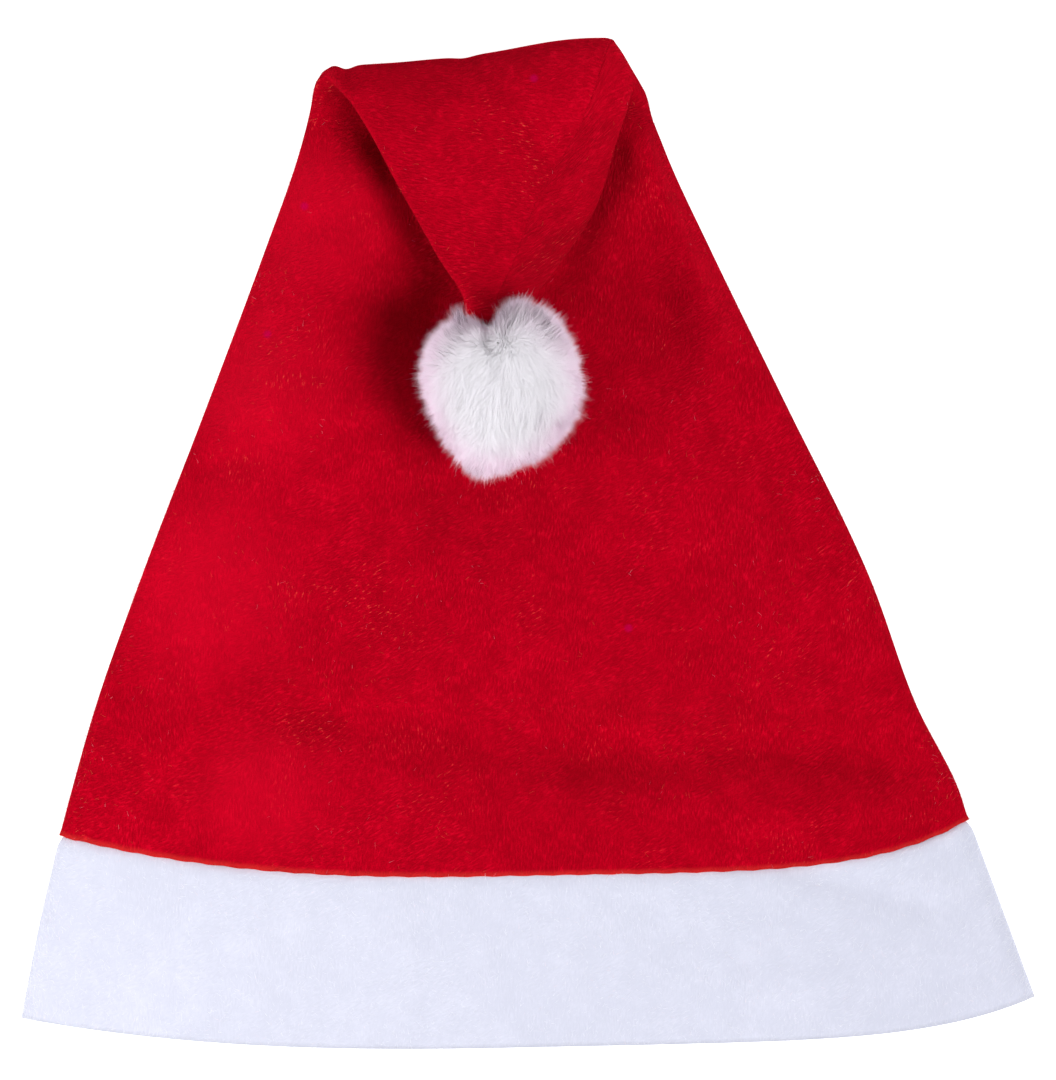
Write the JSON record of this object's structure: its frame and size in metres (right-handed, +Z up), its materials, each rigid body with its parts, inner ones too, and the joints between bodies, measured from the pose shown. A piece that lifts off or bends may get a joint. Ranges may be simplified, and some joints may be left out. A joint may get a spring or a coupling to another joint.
{
  "type": "santa hat",
  "caption": "Soft felt cone hat lying flat with its tip folded forward, a contrasting felt band round the mouth and a fur pompom on the tip.",
  "frame": {"origin": "middle of the footprint, on the surface that the hat lies on", "axes": "+Z up from the back panel to the front panel; the mouth faces -Y and the fold of the tip lies at +Y; +X to the right seen from above"},
  "size_m": [0.29, 0.2895, 0.0593],
  "materials": {
    "red_felt": "matte felt",
    "white_felt": "matte felt",
    "white_fur": "short dense fur"
  },
  "bodies": {
    "root": {"crown_front": "red_felt", "crown_back": "red_felt", "band_front": "white_felt", "band_back": "white_felt", "pompom": "white_fur"}
  },
  "joints": []
}
